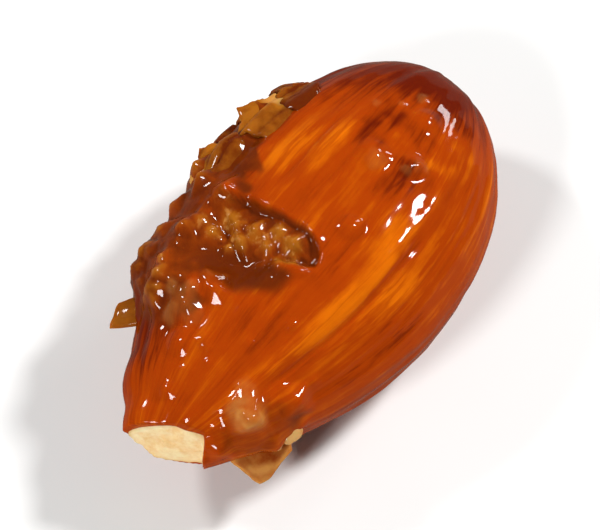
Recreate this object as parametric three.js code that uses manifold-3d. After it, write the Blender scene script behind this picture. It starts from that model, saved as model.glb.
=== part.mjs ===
// A candied almond: one roasted kernel in its ridged skin, with a broken tip and a crust of set caramel.
// Millimetres, +Z up. The nut lies on a broad face: +X points to its round end and +Y to its crusted flank.
// The origin is on the surface that it lies on, under the middle of its bounding box.
import * as THREE from "three";
import { mergeVertices } from "three/addons/utils/BufferGeometryUtils.js";
import Module from "manifold-3d";

// Kernel, measured from its widest section, with the tip as it was before it broke off.
const ROUND_REACH = 12.0;
const TIP_REACH = 15.0;
const WIDTH = 14.0;
const THICKNESS = 9.3;
const ROUND_TAPER = { power: 2.3, root: 0.5 };
const TIP_TAPER = { power: 1.7, root: 0.97 };
const FACE_FULLNESS = 0.9; // below 1 the broad faces stay full nearer to the ends than the edges do
const ROUND_LEAN = 0.6; // how far the round end leans to the crusted flank
const TIP_DIP = { depth: 0.5, from: 9.5, to: 13.0 }; // the upper face dips towards the tip

// Skin ridges, which run lengthwise and wander a little.
const RIDGE_HEIGHT = 0.18;
const RIDGES = [
  { count: 9, share: 0.28, wander: 0.9, pace: 1.9, start: 0.4 },
  { count: 14, share: 0.32, wander: 1.4, pace: 2.6, start: 2.1 },
  { count: 19, share: 0.26, wander: 1.7, pace: 3.3, start: 4.4 },
  { count: 27, share: 0.14, wander: 2.1, pace: 2.2, start: 1.2 },
];

// Broken tip: a face with a step in it, which ends under the caramel on the plain flank. A chip is gone from
// its lower corner on the crusted flank.
const BREAK_PLACE = -12.25;
const BREAK_SKEW = -0.5;
const BREAK_LEAN = 0.02;
const BREAK_STEP = 0.12;
const BREAK_END = { from: -1.7, to: -3.0, drop: 2.5 };
const BREAK_CHIP = { y: 0.65, z: -0.76, from: 1.25, slope: 1.2 };

// Caramel. A patch lies at a place along the kernel (mm from its widest section) and round it (degrees from
// the crusted flank, over the top). It fades out over the outer share of its reach that rim gives.
const GLAZE = 0.12;
const CRUST = {
  pad: { along: -5.0, round: 44, reach: 3.2, stretch: 1.1, depth: 0.7, rim: 0.7, crags: 8 },
  wall: { along: -2.4, round: 75, reach: 2.6, stretch: 0.5, depth: 0.3, rim: 0.8, crags: 10 },
  flank: { along: -5.2, round: 10, reach: 2.7, stretch: 1.1, depth: 0.55, rim: 0.7, crags: 5 },
  fringe: { along: 3.2, round: 12, reach: 2.8, stretch: 1.55, depth: 0.38, rim: 0.25, crags: 4 },
  collar: { along: -9.2, round: 155, reach: 2.5, stretch: 1.1, depth: 0.45, rim: 0.8, crags: 4 },
  heel: { along: 8.0, round: -40, reach: 3.2, stretch: 1.1, depth: 0.55, rim: 0.6, crags: 7 },
  belly: { along: -5.4, round: -122, reach: 2.2, stretch: 1.3, depth: 0.45, rim: 0.6, crags: 5 },
  foot: { along: -0.2, round: -90, reach: 5.2, stretch: 1.4, depth: 0.5, rim: 0.5, crags: 0 },
  bridge: { along: -1.6, round: 38, reach: 2.3, stretch: 1.0, depth: 0.3, rim: 0.6, crags: 3 },
};
const CRAG = { least: 0.8, most: 1.5, steepness: 0.42 };

// Larger crags that stand in a row under the lip of the hollow.
const LEDGE_CRAGS = [
  { along: -3.1, round: 55, reach: 1.2 },
  { along: -2.9, round: 65, reach: 1.0 },
  { along: -2.1, round: 73, reach: 1.2 },
  { along: -2.5, round: 82, reach: 1.1 },
  { along: -1.7, round: 91, reach: 1.4 },
  { along: -2.6, round: 97, reach: 1.3 },
];

// Smooth beads of caramel on the skin.
const BEADS = [
  { along: -9.4, round: 136, reach: 1.2, height: 0.45 },
  { along: 8.0, round: 104, reach: 0.95, height: 0.3 },
  { along: 4.6, round: 93, reach: 1.1, height: 0.35 },
  { along: 5.3, round: 110, reach: 0.9, height: 0.3 },
  { along: 0.6, round: 105, reach: 0.9, height: 0.28 },
  { along: -6.9, round: 62, reach: 1.2, height: 0.45 },
  { along: -8.6, round: 70, reach: 1.0, height: 0.3 },
  { along: -10.6, round: 14, reach: 1.7, height: 0.3 },
  { along: 5.6, round: -128, reach: 1.3, height: 0.4 },
];

// Hollow beside the pad, where a neighbour broke away: a lip on its round side that turns down at its ends, a
// broken wall under the lip, then a floor that narrows and rises gently towards the tip.
const HOLLOW = { depth: 1.0, floorEnd: -3.6, end: -6.0, from: 42, to: 108, fromSide: 18, toSide: 6 };
const NARROWING = { from: 1.8, to: 3.6, by: 10, soften: 18 };
const LIP = { along: -0.65, middle: 76, half: 31, curl: 2.0, turn: 6, edge: 0.3, wall: 1.8, share: 0.55 };

// Snapped sheets of caramel on the flank: ragged plates.
const FRINGE_PLATES = [
  { along: 0.9, round: 28, tilt: -20, span: 3.2, reach: 1.6, thickness: 0.55 },
  { along: 3.9, round: 36, tilt: -8, span: 3.0, reach: 1.85, thickness: 0.5 },
  { along: 5.8, round: 38, tilt: 0, span: 2.4, reach: 1.1, thickness: 0.45 },
];
const PLATE_ROOT = 1.3;
const PLATE_TEETH = 7;

// A shard on the crusted flank and a spur on the other: each has a seat, a direction along its root, one in
// which it stands out, and an outline in those two.
const SHARD = {
  seat: [-7.0, 5.0, 0.2],
  along: [0.79, 0.61, 0],
  out: [-0.9, 0.44, -0.15],
  outline: [[-0.8, -1.2], [0.8, -1.2], [0.75, 0.3], [0.5, 1.3], [-0.75, 1.75]],
  thickness: 0.45,
};
const SPUR = {
  seat: [-9.55, -3.75, -1.15],
  along: [-0.76, 0.65, 0],
  out: [-0.44, -0.4, -0.8],
  outline: [[-1.6, -1.1], [1.5, -1.1], [1.45, 0.0], [0.55, 1.2], [0.2, 1.5], [-0.25, 1.35], [-1.6, 0.1]],
  thickness: 1.2,
};

// Resting place: the caramel set flat under the nut.
const REST_PLANE = -4.85;
const NUT_PLACE = new THREE.Vector3(0.42, -0.44, -REST_PLANE);

// Mesh detail.
const AROUND = 88;
const LENGTHWISE = 60;
const END_SPREAD = 0.1; // draws the rings closer together between the ends
const SPREAD = [0.7548776662, 0.5698402911, 0.8191725134]; // steps that spread points evenly

const { clamp, degToRad, radToDeg, lerp, smoothstep } = THREE.MathUtils;
const wasm = await Module();
wasm.setup();

const fraction = (value) => value - Math.floor(value);
const spread = (index) => SPREAD.map((step) => fraction((index + 1) * step));

// How full the kernel is at a station from -1 at the tip to 1 at the round end.
function fullness(station) {
  const { power, root } = station < 0 ? TIP_TAPER : ROUND_TAPER;
  return Math.max(0, 1 - Math.abs(station) ** power) ** root;
}

// The bare kernel's surface at a station and an angle round its axis.
function kernelPoint(station, round) {
  const full = fullness(station);
  return new THREE.Vector3(
    station * (station < 0 ? TIP_REACH : ROUND_REACH),
    (WIDTH / 2) * full * Math.cos(round) + ROUND_LEAN * Math.max(0, station) ** 2,
    (THICKNESS / 2) * full ** FACE_FULLNESS * Math.sin(round),
  );
}

// A place on the bare kernel from millimetres along it and degrees round it.
const stationOf = (along) => clamp(along / (along < 0 ? TIP_REACH : ROUND_REACH), -1, 1);
const place = (along, round) => kernelPoint(stationOf(along), degToRad(round));

function outward(point) {
  const reach = ROUND_REACH + TIP_REACH;
  return new THREE.Vector3(point.x / reach ** 2, point.y / WIDTH ** 2, point.z / THICKNESS ** 2).normalize();
}

function ridgeHeight(station, round) {
  const wave = ({ count, share, wander, pace, start }) =>
    share * Math.sin(count * round + wander * Math.sin(pace * station + start) + start);
  const height = RIDGES.reduce((sum, ridge) => sum + wave(ridge), 0);
  return RIDGE_HEIGHT * height * fullness(station);
}

// Depth of caramel over a point of the bare kernel: that of the deepest patch there.
const PATCHES = Object.values(CRUST).map((patch) => ({ ...patch, seat: place(patch.along, patch.round) }));
function crustDepth(point) {
  const depthOf = ({ seat, reach, stretch, depth, rim }) => {
    const offset = point.clone().sub(seat);
    const distance = Math.hypot(offset.x / stretch, offset.y, offset.z) / reach;
    return depth * smoothstep(1 - distance, 0, rim);
  };
  return Math.max(...PATCHES.map(depthOf));
}

// Crags: broken facets of caramel, four-sided and turned at random, spread over the patches.
const CRAG_AXIS = new THREE.Vector3(1, 1, 1).normalize();
function cragOn(patch, index) {
  const [turn, out, size] = spread(index);
  const distance = 0.85 * patch.reach * Math.sqrt(out);
  const along = patch.along + distance * patch.stretch * Math.cos(2 * Math.PI * turn);
  const girth = ((WIDTH + THICKNESS) / 4) * fullness(stationOf(patch.along));
  const aside = radToDeg((distance * Math.sin(2 * Math.PI * turn)) / girth);
  const seat = place(along, patch.round + aside);
  return { seat, reach: lerp(CRAG.least, CRAG.most, size), turn: 2.4 * index };
}
const SPREAD_CRAGS = PATCHES.flatMap((patch, p) =>
  Array.from({ length: patch.crags }, (_, i) => cragOn(patch, i + 11 * p)),
);
const CRAGS = [
  ...SPREAD_CRAGS,
  ...LEDGE_CRAGS.map(({ along, round, reach }, i) => ({ seat: place(along, round), reach, turn: 1.1 * i })),
];

function cragHeight(point) {
  const heightOf = ({ seat, reach, turn }) => {
    const offset = point.clone().sub(seat).applyAxisAngle(CRAG_AXIS, turn);
    return CRAG.steepness * Math.max(0, reach - offset.manhattanLength());
  };
  return Math.max(...CRAGS.map(heightOf));
}

function beadHeight(point) {
  const heightOf = ({ along, round, reach, height }) => {
    const share = point.distanceTo(place(along, round)) / reach;
    return height * Math.max(0, 1 - share ** 2) ** 2;
  };
  return Math.max(...BEADS.map(heightOf));
}

function hollowDepth(along, round) {
  const { depth, floorEnd, end, from, to, fromSide, toSide } = HOLLOW;
  const inside = LIP.along - LIP.curl * ((round - LIP.middle) / LIP.half) ** LIP.turn - along;
  const wall = lerp(smoothstep(inside, LIP.edge, LIP.wall), smoothstep(inside, 0, LIP.edge), LIP.share);
  const narrowed = smoothstep(-along, NARROWING.from, NARROWING.to);
  const far = smoothstep(to - NARROWING.by * narrowed - round, 0, toSide + NARROWING.soften * narrowed);
  const across = smoothstep(round - from, 0, fromSide) * far;
  return depth * wall * across * smoothstep(along, end, floorEnd);
}

function tipDip(along, round) {
  return TIP_DIP.depth * smoothstep(-along, TIP_DIP.from, TIP_DIP.to) * Math.max(0, Math.sin(round));
}

// The broken face, as the least x that the nut keeps.
function breakAt(y, z) {
  const step = BREAK_STEP * (Math.tanh(3 * (y + 0.5 * z)) + 0.5 * Math.sin(2.2 * z + 1.4 * y));
  const ended = BREAK_END.drop * smoothstep(-y, -BREAK_END.from, -BREAK_END.to);
  const chip = BREAK_CHIP.slope * Math.max(0, BREAK_CHIP.y * y + BREAK_CHIP.z * z - BREAK_CHIP.from);
  return BREAK_PLACE + BREAK_SKEW * y + BREAK_LEAN * z + step + chip - ended;
}

// Moves every vertex of a geometry to where a function puts it.
function reshape(geometry, move) {
  const positions = geometry.attributes.position;
  const point = new THREE.Vector3();
  for (let i = 0; i < positions.count; i++) {
    const moved = move(point.fromBufferAttribute(positions, i));
    positions.setXYZ(i, moved.x, moved.y, moved.z);
  }
  return geometry;
}

// Kernel with its ridges, its hollow, its broken tip and the caramel that lies on it as a layer.
function coatedKernel() {
  const ball = new THREE.SphereGeometry(1, AROUND, LENGTHWISE).rotateZ(-Math.PI / 2);
  return reshape(ball, (direction) => {
    const cosine = clamp(direction.x, -1, 1);
    const station = (cosine + END_SPREAD * (4 * cosine ** 3 - 3 * cosine)) / (1 + END_SPREAD);
    const round = Math.atan2(direction.z, direction.y);
    const point = kernelPoint(station, round);
    const crust = crustDepth(point);
    const bare = 1 - smoothstep(crust, 0.1, 0.5);
    const lift = GLAZE + crust + cragHeight(point) + beadHeight(point) + bare * ridgeHeight(station, round);
    const sunk = hollowDepth(point.x, radToDeg(round)) + tipDip(point.x, round);
    point.addScaledVector(outward(point), lift - sunk);
    point.x = Math.max(point.x, breakAt(point.y, point.z));
    return point;
  });
}

// A sheet of caramel: an outline in the plane of two directions through a seat on the nut.
function sheet({ seat, along, out, outline, thickness }) {
  const u = new THREE.Vector3(...along).normalize();
  const v = new THREE.Vector3(...out).projectOnPlane(u).normalize();
  const normal = new THREE.Vector3().crossVectors(u, v);
  const frame = new THREE.Matrix4().makeBasis(u, v, normal).setPosition(...seat);
  const shape = new THREE.Shape(outline.map((corner) => new THREE.Vector2(...corner)));
  const geometry = new THREE.ExtrudeGeometry(shape, { depth: thickness, bevelEnabled: false });
  return geometry.translate(0, 0, -thickness / 2).applyMatrix4(frame);
}

// A sheet with a ragged edge that stands out from the crusted flank.
function plate({ along, round, tilt, span, reach, thickness }, index) {
  const ragged = Array.from({ length: PLATE_TEETH + 1 }, (_, tooth) => {
    const share = tooth / PLATE_TEETH;
    const bow = Math.sin(Math.PI * lerp(0.12, 0.88, share));
    return [span * (share - 0.5), reach * bow * lerp(0.7, 1.1, spread(tooth + 5 * index)[0])];
  });
  const outline = [[span / 2, -PLATE_ROOT], [-span / 2, -PLATE_ROOT], ...ragged];
  const out = [0, Math.cos(degToRad(tilt)), Math.sin(degToRad(tilt))];
  return sheet({ seat: place(along, round).toArray(), along: [1, 0, 0], out, outline, thickness });
}

function underside() {
  const size = 2 * (TIP_REACH + ROUND_REACH);
  return new THREE.BoxGeometry(size, size, size).translate(0, 0, REST_PLANE - size / 2);
}

function toSolid(geometry) {
  const bare = geometry.clone();
  bare.deleteAttribute("normal");
  bare.deleteAttribute("uv");
  const merged = mergeVertices(bare, 1e-4);
  const vertProperties = merged.attributes.position.array;
  const triVerts = new Uint32Array(merged.index.array);
  return new wasm.Manifold(new wasm.Mesh({ numProp: 3, vertProperties, triVerts }));
}

function toGeometry(solid) {
  const mesh = solid.getMesh();
  const geometry = new THREE.BufferGeometry();
  geometry.setAttribute("position", new THREE.BufferAttribute(mesh.vertProperties, 3));
  geometry.setIndex(new THREE.BufferAttribute(mesh.triVerts, 1));
  geometry.computeVertexNormals();
  return geometry;
}

function candiedAlmond() {
  const pieces = [...FRINGE_PLATES.map(plate), sheet(SHARD), sheet(SPUR)];
  const joined = pieces.reduce((solid, piece) => solid.add(toSolid(piece)), toSolid(coatedKernel()));
  return toGeometry(joined.subtract(toSolid(underside())));
}

const caramel = new THREE.MeshStandardMaterial({ color: 0xb5520f, roughness: 0.25, metalness: 0 });
const almond = new THREE.Mesh(candiedAlmond(), caramel);
almond.name = "candied_almond";
almond.position.copy(NUT_PLACE);

const part = new THREE.Group();
part.add(almond);
export default part;
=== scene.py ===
"""A candied almond: a roasted kernel in its glazed, ridged skin, with a broken pale tip and set caramel.

Shapes are worked out in millimetres from the kernel's widest section, at mid-height: +X to the round end,
+Y to the crusted flank and +Z up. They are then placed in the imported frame, in metres.
"""

import math
from collections import namedtuple

import bmesh
import bpy
from bpy.props import FloatProperty, FloatVectorProperty, IntProperty, PointerProperty
from bpy.types import Operator, Panel, PropertyGroup
from mathutils import Matrix, Quaternion, Vector, noise
from mathutils.kdtree import KDTree


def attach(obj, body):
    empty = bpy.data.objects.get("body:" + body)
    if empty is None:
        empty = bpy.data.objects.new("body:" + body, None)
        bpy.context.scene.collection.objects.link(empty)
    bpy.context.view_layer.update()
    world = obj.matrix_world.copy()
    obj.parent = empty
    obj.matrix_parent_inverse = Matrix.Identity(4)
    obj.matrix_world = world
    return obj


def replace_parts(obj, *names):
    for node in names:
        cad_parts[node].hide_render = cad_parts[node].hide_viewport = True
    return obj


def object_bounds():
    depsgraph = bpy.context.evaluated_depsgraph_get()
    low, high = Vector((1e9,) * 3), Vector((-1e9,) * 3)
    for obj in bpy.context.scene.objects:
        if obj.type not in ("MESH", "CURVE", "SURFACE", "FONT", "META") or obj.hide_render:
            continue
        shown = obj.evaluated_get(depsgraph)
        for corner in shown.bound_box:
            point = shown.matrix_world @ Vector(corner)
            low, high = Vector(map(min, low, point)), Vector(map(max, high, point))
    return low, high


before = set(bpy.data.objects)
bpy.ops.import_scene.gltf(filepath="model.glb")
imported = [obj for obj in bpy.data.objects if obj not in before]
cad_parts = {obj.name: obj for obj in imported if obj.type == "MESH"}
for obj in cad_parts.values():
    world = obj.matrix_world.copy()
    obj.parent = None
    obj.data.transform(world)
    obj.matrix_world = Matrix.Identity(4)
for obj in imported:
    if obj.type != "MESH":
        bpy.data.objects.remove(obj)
CAD_BOX = [list(corner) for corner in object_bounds()]

bl_info = {
    "name": "Candied Almond",
    "version": (1, 0, 0),
    "blender": (4, 5, 0),
    "location": "View3D > Sidebar > Almond",
    "description": "Models a candied almond with its ridged skin, caramel crust, flakes and broken tip",
    "category": "Object",
}

MM = 0.001
NODE = "candied_almond"
BODY = "root"
CARAMEL_GROUP = "Set caramel"
REST_HEIGHT = 4.85
TO_FRAME = Matrix.Scale(MM, 4) @ Matrix.Translation((0.42, -0.44, REST_HEIGHT))

# Steps whose multiples spread evenly from 0 to 1.
SPREAD = (0.7548776662, 0.5698402911, 0.8191725134)

# Kernel tapers, as a power and a root of the share of the way to an end.
ROUND_TAPER = (2.3, 0.5)
TIP_TAPER = (1.7, 0.97)
FACE_FULLNESS = 0.9
ROUND_LEAN = 0.6
END_SPREAD = 0.1

# Dip of the top towards the tip: depth, start and stop.
TIP_DIP = (0.5, 9.5, 13.0)

# Ridges of the skin, as waves round it that wander along it.
Ridge = namedtuple("Ridge", "count share wander pace start")
RIDGES = (
    Ridge(9, 0.28, 0.9, 1.9, 0.4),
    Ridge(14, 0.32, 1.4, 2.6, 2.1),
    Ridge(19, 0.26, 1.7, 3.3, 4.4),
    Ridge(27, 0.14, 2.1, 2.2, 1.2),
)
FINE_RIDGES = (Ridge(37, 0.55, 2.4, 2.9, 3.3), Ridge(53, 0.45, 3.0, 3.7, 0.9))

# Where ridges are worn, in places and towards the tip, and buried by caramel and beads.
WEAR, WORN, WORN_SHARE = (1, 0.2, 2.2, 2.2), (-0.3, 0.4), 0.35
TIP_WORN, TIP_WORN_SHARE = (-12.0, -8.0), 0.6
CRUST_BURIES, BEAD_BURIES, BEAD_SHARE = (0.1, 0.5), (0.02, 0.12), 0.8
FINE_MARK, FURROW_MARK = 0.4, 8
GRAIN = (6, 5, 0.1)

# Single ridges and grooves: degrees round, half the width in degrees, start and stop along.
Furrow = namedtuple("Furrow", "round half start stop height")
FURROWS = [Furrow(*row) for row in (
    (124, 7, -9, 4, 0.12), (131.5, 2.4, -8.5, 3.5, -0.1), (138, 5, -6, 4.5, 0.08),
    (146, 2.4, -3, 8, -0.06), (77, 5, 0, 7, 0.07), (69.5, 2.2, 0, 6.5, -0.08), (62, 5, -0.5, 6, 0.07),
    (86, 2, 0.5, 5, -0.05),
)]
FURROW_FADE = 2

# Caramel patches: millimetres along, degrees round from the crusted flank over the top.
Patch = namedtuple("Patch", "along round reach stretch depth rim crags grit")
CRUST = {
    "pad": Patch(-5.0, 44, 3.2, 1.1, 0.7, 0.7, 8, 40),
    "wall": Patch(-2.4, 75, 2.6, 0.5, 0.3, 0.8, 10, 60),
    "flank": Patch(-5.2, 10, 2.7, 1.1, 0.55, 0.7, 5, 25),
    "fringe": Patch(3.2, 12, 2.8, 1.55, 0.38, 0.25, 4, 10),
    "collar": Patch(-9.2, 155, 2.5, 1.1, 0.45, 0.8, 4, 16),
    "heel": Patch(8.0, -40, 3.2, 1.1, 0.55, 0.6, 7, 40),
    "belly": Patch(-5.4, -122, 2.2, 1.3, 0.45, 0.6, 5, 30),
    "foot": Patch(-0.2, -90, 5.2, 1.4, 0.5, 0.5, 0, 0),
    "bridge": Patch(-1.6, 38, 2.3, 1.0, 0.3, 0.6, 3, 4),
}

# Crags and grit strewn over the patches, with the first draw and the step from patch to patch.
CRAG_AXIS = Vector((1, 1, 1)).normalized()
CRAG_STEEPNESS, CRAG_TURN, CRAG_SPREAD = 0.42, 2.4, 0.85
CRAG_DRAWS, GRIT_DRAWS = (0, 11), (400, 97)
GRIT_SIZES, GRIT_SHARE = (0.3, 0.7), 0.4
ROUGH_FROM, ROUGH_SOFTENING = 0.02, 0.3

# Crags in places of their own, in the hollow, on the pad and beside the tip: along, round, reach.
PLACED_CRAGS = (
    (-3.1, 55, 1.2), (-2.9, 65, 1.0), (-2.1, 73, 1.2), (-2.5, 82, 1.1), (-1.7, 91, 1.4), (-2.6, 97, 1.3),
    (-5.4, 42, 1.0), (-6.1, 47, 0.7), (-10.0, 143, 0.6),
)
PLACED_TURN = 1.1

# Smooth beads, with how cloudy each is from 0 to 1.
Bead = namedtuple("Bead", "along round reach height cloud", defaults=(0,))
BEADS = [Bead(*row) for row in (
    (-9.4, 136, 1.2, 0.45, 0.5), (8, 104, 0.95, 0.3), (4.6, 93, 1.1, 0.35), (5.3, 110, 0.9, 0.3),
    (0.6, 105, 0.9, 0.28), (-6.9, 62, 1.2, 0.45, 0.1), (-8.6, 70, 1, 0.3), (-10.6, 14, 1.7, 0.3),
    (5.6, -128, 1.3, 0.4, 0.3),
)]

# Small drops of glaze that catch the light; the pale cloudy spots of those on the round end and the pad are
# partly painted highlight.
DROPS = [Bead(*row) for row in (
    (-5.1, 114, 0.5, 0.13), (-7, 105, 0.45, 0.12), (-8.2, 87, 0.4, 0.11), (-8.8, 93, 0.35, 0.08),
    (-6.2, 146, 0.4, 0.1), (-2.9, 120, 0.4, 0.1), (4.3, 96, 0.7, 0.08, 0.12), (4.9, 109, 0.45, 0.1, 0.15),
    (5.5, 114, 0.5, 0.1, 0.15), (5, 101, 0.5, 0.06), (7.2, 79, 0.4, 0.08, 0.12), (8, 88, 0.35, 0.08, 0.15),
    (9.1, 95, 0.4, 0.08, 0.15), (-6.5, 54, 0.55, 0.22, 0.25), (-6.2, 63, 0.5, 0.2, 0.2),
    (-7.6, 56, 0.8, 0.25, 0.2), (-7.2, 68, 0.75, 0.23, 0.1), (-8.4, 47, 0.8, 0.15), (-8, 82, 0.6, 0.18),
    (-10.8, 74, 0.6, 0.14), (-12.4, 34, 1.6, 0.3), (-11.4, 109, 1.1, 0.17), (-1.05, 97, 0.7, 0.12),
    (-8.65, 124, 0.8, 0.2, 0.25), (-9.6, 136, 0.6, 0.15, 1), (-9.2, 141, 0.5, 0.15, 0.8),
    (2.4, -150, 0.5, 0.1), (7.4, -20, 0.5, 0.12),
)]
CLOUD_EDGE = (0.1, 0.55)

# Crumbs, with how brown each is from 0 to 1, and how the smaller ones are scattered.
Crumb = namedtuple("Crumb", "along round radius brown")
CRUMBS = (Crumb(-8.2, 177, 0.48, 0.0),)
CRUMB_PATCHES = ("collar", "fringe", "heel", "flank", "belly")
CRUMB_DRAW, CRUMB_SPREAD, CRUMB_RADII, CRUMB_BROWN = 300, 0.95, (0.14, 0.24), 0.5
CRUMB_SHAPE, CRUMB_SUNK, CRUMB_SALT = (1.4, 1.0, 0.8, 1.0), 0.35, 7.7

# Hollow beside the pad: its floor's end and sides, then the lip and wall on its round side.
HOLLOW_END = (-6.0, -3.6)
HOLLOW_SIDES = (42, 108, 18, 6)
NARROWING = (1.8, 3.6, 10, 18)
LIP_ALONG, LIP_MIDDLE, LIP_HALF, LIP_CURL, LIP_TURN = -0.65, 76, 31, 2.0, 6
LIP_EDGE, LIP_WALL, LIP_SHARE = 0.3, 1.8, 0.55

# Painted shadow on the wall under the lip, with its widths at two angles round.
LIP_SHADE, SHADE_RIM = 0.6, 0.2
SHADE_WIDTHS, SHADE_TURN, SHADE_FULL = (1.6, 0.6), (68, 98), 0.4

# Broken tip: its face, step, wave, snapped end and chip.
BREAK_PLACE, BREAK_SKEW, BREAK_LEAN = -12.25, -0.5, 0.02
BREAK_STEP, STEP_SHARPNESS, STEP_SLANT = 0.12, 3, 0.5
BREAK_WAVE, WAVE_Y, WAVE_Z = 0.5, 1.4, 2.2
BREAK_END = (1.7, 3.0, 2.5)
BREAK_CHIP = (0.65, -0.76, 1.25, 1.2)
SKIN_DEPTH = 0.12

# Nut meat: under the skin, proud of the break, set back on one side, brown at its rim.
MEAT_FACES = (144, 120)
MEAT_UNDER, MEAT_PROUD, MEAT_ROOT = 0.05, 0.02, -8
MEAT_SETBACK, SETBACK_AT = 0.4, (1.5, 1.9)
MEAT_RIM, TINY = (0.75, 1.0), 1e-6

# Where roasting left the nut darker (above 0) or brighter (below 0); some spots are painted shade and light
# instead, darker on the left flank and brighter along the right flank.
Toast = namedtuple("Toast", "along round reach stretch amount")
TOASTING_AND_SHADING = [Toast(*row) for row in (
    (11, 66, 6, 1, 1.1), (8.7, 76, 2.6, 1.2, 0.22), (7.4, 34, 2.8, 1.4, 0.9), (11.2, 118, 4.6, 1, 0.7),
    (5.9, 89, 2, 1.1, 0.8), (4.8, 108, 2.2, 1.2, 0.3), (4.1, 106, 1.3, 1, 0.35), (6.7, 105, 1.2, 1, 0.35),
    (9.1, 126, 1, 1, 0.35), (3.1, 104, 1, 1, 0.35), (2.6, 147, 3.2, 2.2, -0.25),
    (-1.8, 124, 1.6, 4, -0.45), (1.6, 119, 1.3, 2.2, -0.6), (-0.8, 138, 1.3, 3.2, -0.5),
    (3.6, 76, 1.5, 2, -0.5), (2.6, 62, 1.4, 2.2, -0.6), (7.4, 132, 1.2, 2.2, -0.4),
    (-2.5, 160, 2.6, 2, 0.25), (-6.2, 96, 2.2, 1.2, 0.25), (-5.6, 24, 3.2, 1.2, 1.1),
    (-8.6, 30, 3.6, 1.4, 1), (-1.2, 34, 2.6, 1.2, 0.7), (3.4, 34, 2.4, 1.8, 0.9), (0.4, 50, 1.3, 0.8, 0.9),
    (-2.4, 78, 2.4, 0.6, -0.4), (-5.5, 44, 1.5, 1, -1.3), (-9.4, 148, 2.6, 1.2, -0.5),
    (6, -100, 5, 1.2, 0.3),
)]

# Where the skin is blotched, dark and light.
BLOTCHED = (Toast(6.8, 106, 4.2, 1.0, 1.1),)

# Caramel too thin to stand out, spread between the patches.
FILMS = [Toast(*row) for row in (
    (-1.4, 22, 3, 1.2, 1), (3.6, 30, 2.7, 1.9, 1), (0.6, 44, 2.3, 1, 1.2), (-6.6, 40, 3, 1.1, 0.8),
    (-7.2, 58, 2, 1.2, 0.5), (-9.6, 148, 2.6, 1.2, 0.6),
)]

# Caramel so clear that the skin shows, and the dark floor of the hollow: darker caramel with painted shade,
# darkest in the hole at the lip's end.
CLEAR = (Toast(-9.6, 140, 3.0, 1.1, 0.75), Toast(-8.4, 52, 2.2, 1.0, 0.5))
FLOOR_DARK_AND_SHADE = (
    Toast(-4.3, 73, 3.2, 0.6, 1.1), Toast(-3.6, 94, 1.6, 0.9, 0.8), Toast(-0.5, 57, 1.0, 0.8, 0.9)
)

# Where caramel starts to cover the skin and where it hides it.
COVER_DEPTHS, COVER_SUNK, COVER_FILM = (0.06, 0.36), (0.15, 0.5), (0.25, 0.6)

# Noise in layers, each as a scale per millimetre and a share; the seed settles how edges stray.
RIPPLE_WAVES = ((0.55, 1.0), (1.3, 0.6))
FILM_WAVES = ((0.9, 0.25), (2.3, 0.2))
BLOTCH_WAVES = ((0.75, 1.0), (1.8, 0.5))
LIP_WAVES = ((1.1, 0.16),)
FACE_WAVES = ((2.6, 0.05), (6.0, 0.03))
SETBACK_WAVES = ((1.5, 0.15),)
CRUMB_WAVES = ((0.8, 0.45), (2.4, 0.25))
STAIN_STRAY = ((0.8, 0.35),)
COVER_STRAY = ((0.4, 1.3), (1.3, 0.5))
CLOUD_STRAY = ((1.7, 0.3),)
STRAY_SEED = 5

# Snapped sheets on the crusted flank, with how dark and creased each is and where it is cloudy.
Plate = namedtuple("Plate", "along round tilt span reach thickness tone creases cloud")
FRINGE = (
    Plate(0.9, 28, -20, 3.2, 1.6, 0.4, 0.15, 0.75, 0.05),
    Plate(3.9, 36, -8, 3.0, 1.85, 0.38, 0.05, 0.2, 0.95),
    Plate(5.8, 38, 0, 2.4, 1.1, 0.36, 0.75, 0.3, 2.0),
)
PLATE_CELLS, PLATE_TAPER = (40, 32), 0.25
PLATE_ROOT, PLATE_NARROWING, PLATE_FREE = 1.3, 0.3, (-0.1, 0.8)
ROOT_LIFTS, ROOT_RISE = (-0.25, 0.12), 0.5
PLATE_TEETH, TOOTH_HEIGHTS, TOOTH_DRAWS, PLATE_ARC = 7, (0.7, 1.1), 5, (0.12, 0.88)
CREASE_DEPTH, CREASE_PACE, CREASE_SLANT = 0.12, 1.5, 0.16

# Darker root and cloudy band of a sheet.
ROOT_TONE, ROOT_FADE = 0.5, (-0.7, 0.1)
CLOUD_TONE, CLOUD_BAND, CLOUD_START = -0.8, (0.08, 0.3), (-0.8, 0.0)

# Small sheets between the others, with the least and the most of each value.
SMALL_PLATES, SMALL_DRAW = 5, 40
SMALL_LEAST = Plate(-0.6, 4, -45, 0.9, 0.8, 0.3, 0.1, 0.4, 2.0)
SMALL_MOST = Plate(6.6, 24, 0, 1.8, 0.8, 0.3, 0.5, 0.4, 2.0)

# Single splinters: a seat, ways along the root and out from it, and a free edge as (along, out).
Splinter = namedtuple("Splinter", "seat along out root edge thickness salt")
SHARD = Splinter(
    (-7, 5, 0.2), (0.79, 0.61, 0), (-0.9, 0.44, -0.15), 1.2,
    ((-0.78, 1.75), (0.5, 1.3), (0.77, 0.3)), 0.45, 3,
)
SHARD_CELLS, SHARD_TONE = (30, 20), 0.15
SPUR = Splinter(
    (-9.55, -3.75, -1.15), (-0.76, 0.65, 0), (-0.44, -0.4, -0.8), 1.1,
    ((-1.6, 0.1), (-0.25, 1.35), (0.2, 1.5), (0.55, 1.2), (1.45, 0)), 1.2, 9,
)
SPUR_CELLS, SPUR_TAPER = (48, 32), 0.5
SPUR_TONES, SPUR_FADE, SPUR_SIDE, SPUR_PALER = (1.0, 0.2), (0.35, 0.8), 0.5, 0.25
FREE_EDGE = 0.35

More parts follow.
